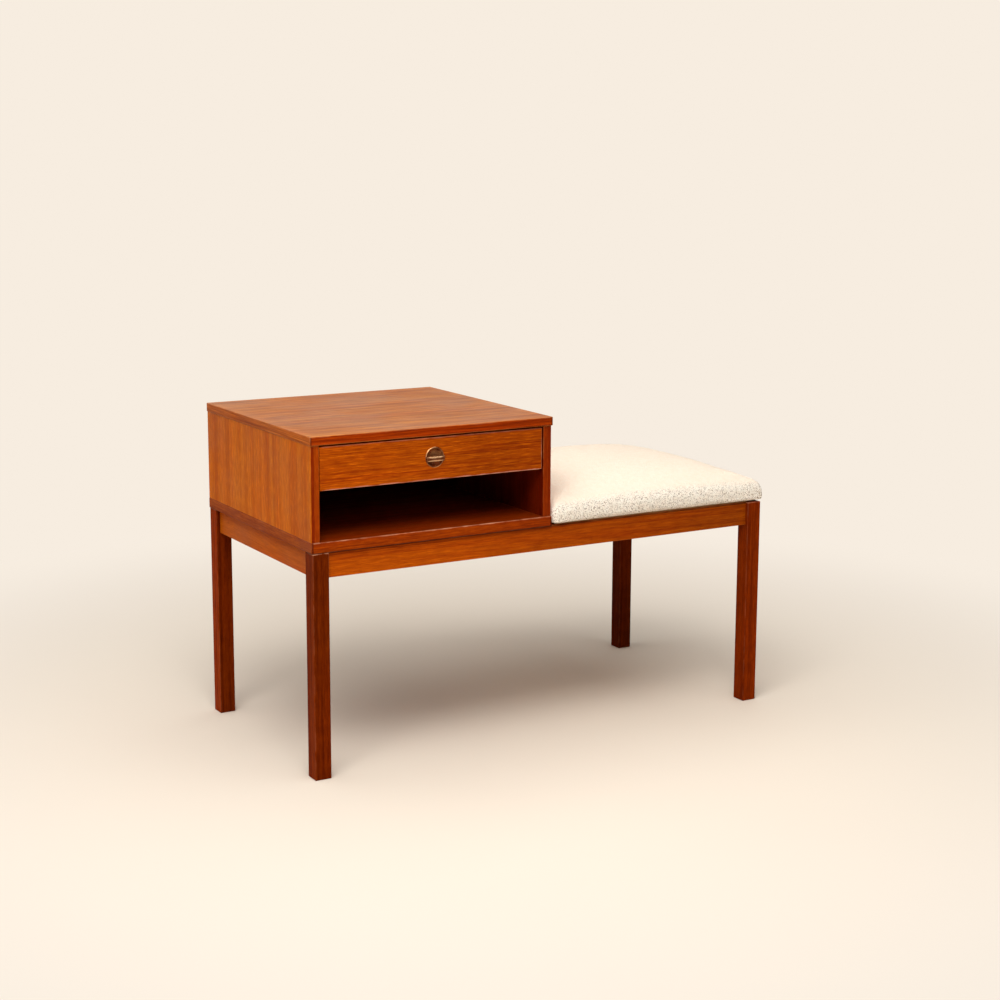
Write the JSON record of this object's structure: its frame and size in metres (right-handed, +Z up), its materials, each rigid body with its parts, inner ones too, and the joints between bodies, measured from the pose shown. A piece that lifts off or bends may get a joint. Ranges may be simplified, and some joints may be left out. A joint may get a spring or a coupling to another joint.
{
  "type": "telephone bench",
  "caption": "Telephone bench: teak frame on square legs, low cabinet with a drawer over an open niche at one end, padded seat at the other.",
  "frame": {"origin": "on the floor, midway under the four legs", "axes": "+X along the bench from the cabinet to the seat, +Y to the back, +Z up; the drawer opens towards -Y"},
  "size_m": [0.9601, 0.4706, 0.598],
  "materials": {
    "teak": "oiled satin",
    "teak_dark": "oiled satin",
    "teak_top": "oiled satin",
    "birch": "bare planed",
    "steel": "zinc plated",
    "brass": "aged, dull",
    "foam": "open-cell foam",
    "wool": "looped wool with dark flecks"
  },
  "bodies": {
    "bench": {"leg_front_left": "teak_dark", "leg_front_right": "teak_dark", "leg_back_left": "teak_dark", "leg_back_right": "teak_dark", "apron_front": "teak", "apron_back": "teak", "apron_left": "teak", "apron_right": "teak", "cross_rail": "birch", "corner_block_front_left": "birch", "corner_block_front_right": "birch", "corner_block_back_left": "birch", "corner_block_back_right": "birch", "frame_screws": "steel", "base_board": "teak_dark", "side_panel_left": "teak", "side_panel_right": "teak", "top_board": "teak_top", "back_panel": "teak_dark", "cabinet_dowels": "birch", "runner_left": "birch", "runner_right": "birch", "runner_screws": "steel", "seat_board": "birch", "seat_foam": "foam", "seat_cover": "wool"},
    "drawer": {"drawer_front": "teak", "drawer_side_left": "birch", "drawer_side_right": "birch", "drawer_back": "birch", "drawer_bottom": "birch", "bottom_screws": "steel", "pull_cup": "brass", "pull_bar": "brass"}
  },
  "joints": [
    {"name": "drawer_slide", "type": "slide", "parent": "bench", "child": "drawer", "axis": [0, -1, 0], "range_m": [0, 0.29]}
  ]
}
